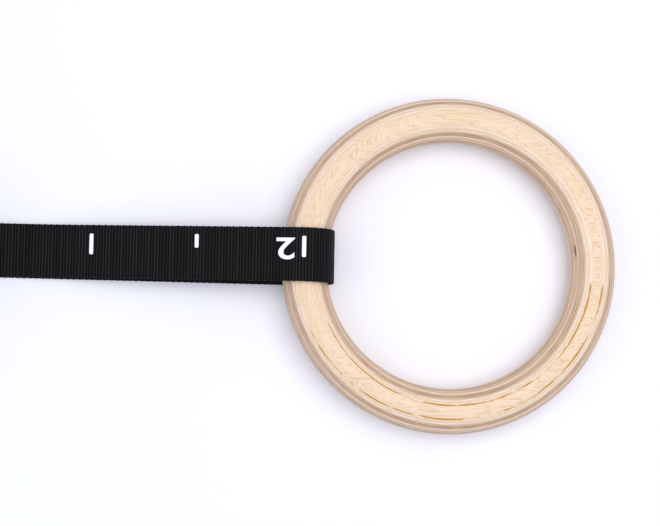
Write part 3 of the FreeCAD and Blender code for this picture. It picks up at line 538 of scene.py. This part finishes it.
def thread_paint():
    p = Paint("black_thread", Specular_IOR_Level=0.4)
    place = p.object_place()
    x, y, z = p.split(place)
    ply = p.math("SINE", p.math("MULTIPLY", p.math("ADD", p.math("ADD", x, y), z), 2 * math.pi / 0.7))
    fuzz = p.noise(place, 4.0, 2.0)
    p.colour(p.mix(p.math("MULTIPLY_ADD", ply, 0.35, p.math("MULTIPLY", fuzz, 0.5)),
                   rgb(14, 14, 16), rgb(62, 62, 66)))
    p.roughness(p.fade(fuzz, 0.2, 0.8, 0.5, 0.7))
    p.bump(ply, 0.00008, 0.6)
    return p.material


def tie_paint():
    """Hook-and-loop strip: a felt of fine loops."""
    p = Paint("hook_and_loop", Specular_IOR_Level=0.3, Sheen_Weight=0.3, Sheen_Roughness=0.4)
    place = p.object_place()
    loops = p.noise(place, 2.4, 4.0, 0.7)
    patches = p.noise(place, 0.25, 2.0)
    dots = p._node("TexVoronoi")
    p.feed(dots.inputs["Vector"], place)
    dots.inputs["Scale"].default_value = 1.1
    tone = p.math("MULTIPLY_ADD", loops, 0.7, p.math("MULTIPLY", patches, 0.3))
    p.colour(p.mix(tone, rgb(10, 10, 11), rgb(60, 60, 64)))
    p.roughness(p.fade(loops, 0.2, 0.8, 0.7, 0.95))
    p.bump(p.math("MULTIPLY_ADD", dots.outputs["Distance"], -0.6, loops), 0.0003, 0.6)
    return p.material


def metal_paint(name, dark, light, rough, grain):
    """Bare metal: cloudy colour, fine pitting, and brighter where hands and webbing rub."""
    p = Paint(name, Metallic=1.0)
    place = p.object_place()
    cloud = p.noise(place, 0.12, 4.0, 0.6)
    pits = p.noise(place, grain, 3.0, 0.6)
    scuffs = p.noise(p.scaled(place, (0.15, 1.0, 1.0)), 1.6, 4.0, 0.7)
    wear = p._node("NewGeometry").outputs["Pointiness"]
    worn = p.fade(wear, 0.50, 0.56)
    colour = p.mix(p.fade(cloud, 0.3, 0.7), dark, light)
    colour = p.mix(p.math("MULTIPLY", worn, 0.6), colour, rgb(226, 226, 224))
    p.colour(colour)
    rough_here = p.fade(scuffs, 0.3, 0.75, rough, rough + 0.2)
    p.roughness(p.math("SUBTRACT", rough_here, p.math("MULTIPLY", worn, 0.12)))
    p.bump(p.math("MULTIPLY_ADD", scuffs, 0.5, pits), 0.00008, 0.5)
    return p.material


# ---------------------------------------------------------------- pieces

def dress(piece, paint, slot, body, *nodes):
    """Gives a new piece its material, parents it to its body's empty and hides the CAD nodes it stands for.
    """
    piece.data.materials.append(paint)
    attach(piece, body)
    if nodes:
        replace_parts(piece, *nodes)
    return piece


def turned_ring():
    """The ring in its own frame: its axis is the piece's Z."""
    around, over = 640, 96
    angle = np.linspace(0, 2 * math.pi, around, endpoint=False)[:, None]
    section_angle = np.linspace(0, 2 * math.pi, over, endpoint=False)[None, :]
    wobble = 0.06 * MM * (np.sin(3 * angle + 0.6) * np.cos(2 * section_angle) - 1)
    radius = TUBE_RADIUS + wobble
    reach = RING_RADIUS + radius * np.cos(section_angle)
    points = np.stack([reach * np.cos(angle), reach * np.sin(angle),
                       radius * np.sin(section_angle) + 0 * angle], axis=-1)
    index = np.arange(around * over).reshape(around, over)
    onward, upward = np.roll(index, -1, 0), np.roll(index, -1, 1)
    corner = np.roll(onward, -1, 1)
    faces = np.stack([index, onward, corner, upward], axis=-1).reshape(-1, 4)
    mesh = bpy.data.meshes.new("turned_ring")
    mesh.from_pydata(points.reshape(-1, 3).tolist(), [], faces.tolist())
    mesh.shade_smooth()
    piece = bpy.data.objects.new("turned_ring", mesh)
    bpy.context.scene.collection.objects.link(piece)
    piece.location = RING_CENTRE
    piece.rotation_euler = (0, RING_LEAN, 0)
    return dress(piece, birch_plywood(), "ring_wood", RING, "wooden_ring")


def flat_mark(shape, cell):
    """Cuts a flat outline into cells that are small enough to follow the ribs."""
    low = [min(v.co[i] for v in shape.verts) for i in (0, 1)]
    high = [max(v.co[i] for v in shape.verts) for i in (0, 1)]
    for i, size in enumerate(cell):
        normal = Vector((1 - i, i, 0))
        for place in np.arange(low[i] + size / 2, high[i], size):
            everything = shape.verts[:] + shape.edges[:] + shape.faces[:]
            bmesh.ops.bisect_plane(shape, geom=everything, plane_co=normal * place, plane_no=normal)
    bmesh.ops.dissolve_degenerate(shape, dist=0.001 * MM, edges=shape.edges[:])
    return shape


def lay_on_webbing(shape, distance, sideways):
    """Turns a flat mark into ink that stands a little proud of the printed face."""
    flat = np.array([v.co[:2] for v in shape.verts])
    along, across = distance + flat[:, 0], sideways - flat[:, 1]
    placed = strap_place(along, across, ribs(along) + INK_PROUD)
    for vert, place in zip(shape.verts, placed):
        vert.co = place


def tick_shape(length, width):
    """A stroke across the strap with rounded corners."""
    shape = bmesh.new()
    radius = 0.32 * width
    half_length, half_width = length / 2 - radius, width / 2 - radius
    corners = [(math.copysign(half_width, math.cos(a)) + radius * math.cos(a),
                math.copysign(half_length, math.sin(a)) + radius * math.sin(a), 0)
               for a in np.radians(np.arange(7.5, 360, 15))]
    shape.faces.new([shape.verts.new(c) for c in corners])
    return shape


def number_shape(text, width, height):
    """A plain bold numeral, its outline filled."""
    curve = bpy.data.curves.new("numeral", "FONT")
    curve.body = text
    curve.align_x = "CENTER"
    curve.offset = 0.014
    curve.resolution_u = 6
    holder = bpy.data.objects.new("numeral", curve)
    bpy.context.scene.collection.objects.link(holder)
    bpy.context.view_layer.update()
    mesh = bpy.data.meshes.new_from_object(holder)
    bpy.data.objects.remove(holder)
    shape = bmesh.new()
    shape.from_mesh(mesh)
    bmesh.ops.remove_doubles(shape, verts=shape.verts[:], dist=1e-5)
    xs, ys = [v.co.x for v in shape.verts], [v.co.y for v in shape.verts]
    centre = Vector(((min(xs) + max(xs)) / 2, (min(ys) + max(ys)) / 2, 0))
    for vert in shape.verts:
        place = vert.co - centre
        vert.co = Vector((place.x * width / (max(xs) - min(xs)), place.y * height / (max(ys) - min(ys)), 0))
    return shape


def printed_scale():
    """White ticks every quarter of a foot and a number at each whole one."""
    zero = STRANDS.wrap_end - 1.0 * MM - 2 * FOOT
    cell = (RIB_PITCH / 8, 1.4 * MM)
    whole = bmesh.new()
    outer_turn = 2 * math.pi * ROLL_MIDDLE
    quarters = int((STRANDS.length + outer_turn - zero) / (FOOT / 4))
    for quarter in range(1, quarters + 1):
        distance = zero + quarter * FOOT / 4
        if quarter % 2:
            marks = [(tick_shape(9.6 * MM, 2.8 * MM), distance, 8.35 * MM)]
        else:
            marks = [(tick_shape(14.8 * MM, 2.8 * MM), distance, 5.3 * MM)]
        if quarter % 4 == 0:
            number = number_shape(str(quarter // 4), 13.2 * MM, 15.2 * MM)
            marks.append((number, distance + 12.9 * MM, 3.75 * MM))
        for shape, place, sideways in marks:
            flat_mark(shape, cell)
            lay_on_webbing(shape, place, sideways)
            mesh = bpy.data.meshes.new("mark")
            shape.to_mesh(mesh)
            whole.from_mesh(mesh)
            shape.free()
    mesh = bpy.data.meshes.new("ink_marks")
    whole.to_mesh(mesh)
    whole.free()
    mesh.shade_smooth()
    piece = bpy.data.objects.new("ink_marks", mesh)
    bpy.context.scene.collection.objects.link(piece)
    layer = piece.modifiers.new("ink_layer", "SOLIDIFY")
    layer.thickness, layer.offset = INK_LAYER, -1
    return dress(piece, white_ink(), "mark_ink", STRAP, "printed_scale")


def strap_webbing():
    """The strap's two pieces: its strands in one, its rolled spare length in the other."""
    paint = black_webbing()
    strands = webbing("webbing_strands", 0.0, STRANDS.length, per_rib=8, columns=7)
    dress(strands, paint, "webbing", STRAP, "strap_sewn_end", "strap_sewn_eye", "strap_beam_fold",
          "strap_lower_strand", "strap_ring_wrap", "strap_upper_strand", "strap_tail")
    rolled = webbing("webbing_roll", STRANDS.length, STRAP_LENGTH, per_rib=5, columns=3)
    dress(rolled, paint, "webbing", STRAP, "strap_roll")


def stitch(shape, centre, heading, face):
    """One flattened bead of thread, bedded in the webbing."""
    length, width, height = 2.7 * MM, 0.9 * MM, 0.42 * MM
    across = face.cross(heading)
    turn = Matrix((heading, across, face)).transposed().to_4x4()
    size = Matrix.Diagonal((length / 2, width / 2, height, 1))
    place = Matrix.Translation(centre) @ turn @ size
    bmesh.ops.create_uvsphere(shape, u_segments=10, v_segments=6, radius=1, matrix=place)


def sewn_box():
    """A stitched box with a cross in it holds the sewn end, seen on both faces of the lap."""
    pitch, margin, half = 3.0 * MM, 3.2 * MM, STRAP_WIDTH / 2 - 3.4 * MM
    near, far = margin, SEWN_LENGTH - margin
    corners = [(near, -half), (far, -half), (far, half), (near, half)]
    rows = list(zip(corners, corners[1:] + corners[:1]))
    rows += [(corners[0], corners[2]), (corners[1], corners[3])]
    lap_start = STRANDS.sewn_end - (STRANDS.at([0.0])[0][0] - FOLD_X)
    shape = bmesh.new()
    for first, last in rows:
        run = math.hypot(last[0] - first[0], last[1] - first[1])
        count = round(run / pitch)
        for number in range(count):
            share = (number + 0.5) / count
            reach = first[0] + (last[0] - first[0]) * share
            sideways = first[1] + (last[1] - first[1]) * share
            for distance, onward in ((reach, 1), (lap_start - reach, -1)):
                centre = Vector(strap_place(distance, sideways, THICKNESS / 2 - 0.1 * MM))
                heading = Vector((last[0] - first[0], last[1] - first[1], 0)).normalized()
                stitch(shape, centre, heading, Vector((0, 0, -onward)))
    mesh = bpy.data.meshes.new("sewn_box")
    shape.to_mesh(mesh)
    shape.free()
    mesh.shade_smooth()
    piece = bpy.data.objects.new("sewn_box", mesh)
    bpy.context.scene.collection.objects.link(piece)
    return dress(piece, thread_paint(), "thread", STRAP, "sewn_end_stitching")


def tie_strip():
    """The hook-and-loop tie: once round through the core, then lapped on itself on top."""
    layer, bend, lap = 1.4 * MM, 2.2 * MM, 15 * MM
    half_width = (TIE_HIGH.x - TIE_LOW.x) / 2
    half_loop = (TIE_HIGH.y - TIE_LOW.y) / 2 - layer / 2
    low, high = TIE_LOW.z + layer / 2, TIE_HIGH.z - layer / 2
    route = Route(lap, high - layer, 180)
    route.run(lap + half_loop - bend).turn(bend, 90).run(high - layer - low - 2 * bend)
    route.turn(bend, 90).run(2 * (half_loop - bend)).turn(bend, 90)
    route.run(high - low - 2 * bend).turn(bend, 90).run(half_loop - bend + lap)
    shape = section(9)
    distance = np.linspace(0, route.length, round(route.length / MM * 2))[:, None]
    sideways, up, heading = [part + 0 * shape[:, 0] for part in route.at(distance)]
    lift = shape[:, 1] * (layer / 2 - 0.03 * MM)
    across = shape[:, 0] * half_width
    middle = (TIE_LOW + TIE_HIGH) / 2
    points = np.stack([middle.x - across + 0 * distance,
                       middle.y + sideways + lift * np.sin(heading),
                       up - lift * np.cos(heading)], axis=-1)
    weave = np.stack([distance + 0 * across, across + 0 * distance, lift + 0 * distance], axis=-1)
    piece = grid_mesh("tie_strip", points, weave, closed_section=True)
    dress(piece, tie_paint(), "tie_fabric", STRAP, "storage_tie")
    return piece


def twisting_spring(paint):
    """The cam spring: a copy of the CAD spring's shape, in its own material."""
    mesh = NODES["cam_spring"].data.copy()
    mesh.materials.clear()
    mesh.materials.append(paint)
    piece = bpy.data.objects.new("torsion_spring", mesh)
    bpy.context.scene.collection.objects.link(piece)
    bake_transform(piece)
    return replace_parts(piece, "cam_spring")


def paint_metal():
    """The CAD nodes that keep their own shape."""
    zinc = metal_paint("zinc_frame", rgb(150, 151, 154), rgb(182, 183, 186), 0.34, 1.8)
    lever = metal_paint("zinc_lever", rgb(158, 159, 162), rgb(190, 191, 194), 0.30, 1.8)
    pin = metal_paint("steel_pin", rgb(140, 141, 145), rgb(176, 177, 181), 0.22, 3.0)
    spring = metal_paint("spring_wire", rgb(120, 122, 128), rgb(160, 162, 168), 0.26, 3.0)
    paints = {"buckle_frame": zinc, "cam_lever": lever, "cam_pin": pin}
    for node, paint in paints.items():
        slots = NODES[node].data.materials
        slots.clear()
        slots.append(paint)
    twisting_spring(spring)


# ---------------------------------------------------------------- table, light and camera

def table_and_light():
    mesh = bpy.data.meshes.new("table")
    half = 4.0
    mesh.from_pydata([(-half, -half, 0), (half, -half, 0), (half, half, 0), (-half, half, 0)], [],
                     [(0, 1, 2, 3)])
    table = bpy.data.objects.new("table", mesh)
    bpy.context.scene.collection.objects.link(table)
    p = Paint("pale_table", Specular_IOR_Level=0.2)
    p.colour(p.mix(p.noise(p.object_place(), 0.004, 2.0), rgb(246, 246, 248), rgb(248, 248, 250)))
    p.shader.inputs["Roughness"].default_value = 0.8
    mesh.materials.append(p.material)

    world = bpy.data.worlds.new("studio")
    bpy.context.scene.world = world
    world.use_nodes = True
    backdrop = world.node_tree.nodes["Background"]
    backdrop.inputs["Color"].default_value = (0.76, 0.80, 1.0, 1.0)
    backdrop.inputs["Strength"].default_value = 0.69

    lights = [("softbox", (0.30, 0.14, 1.6), 1.5, 17.0, (1.0, 0.98, 0.95)),
              ("left_fill", (-1.2, 0.0, 1.2), 0.9, 3.4, (0.97, 0.98, 1.0))]
    for name, place, size, power, colour in lights:
        data = bpy.data.lights.new(name, "AREA")
        data.size, data.energy, data.color = size, power, colour
        lamp = bpy.data.objects.new(name, data)
        lamp.location = place
        lamp.rotation_euler = (-Vector(place)).to_track_quat("-Z", "Y").to_euler()
        bpy.context.scene.collection.objects.link(lamp)


def camera():
    """Above the strap's end of the ring, looking almost straight down."""
    height, roll = 1.0, math.radians(1.06)
    tilt, lean = math.radians(3.79), math.radians(-3.69)
    beside = Matrix.Rotation(roll, 3, "Z") @ Vector((-0.1499, -0.065, height))
    data = bpy.data.cameras.new("camera")
    data.sensor_width = 36
    data.lens = 77.1
    eye = bpy.data.objects.new("camera", data)
    eye.location = RING_CENTRE + beside
    eye.rotation_euler = (tilt, lean, roll)
    bpy.context.scene.collection.objects.link(eye)
    bpy.context.scene.camera = eye
    bpy.context.scene.view_settings.view_transform = "Standard"


camera()
table_and_light()
turned_ring()
strap_webbing()
printed_scale()
sewn_box()
tie_strip()
paint_metal()
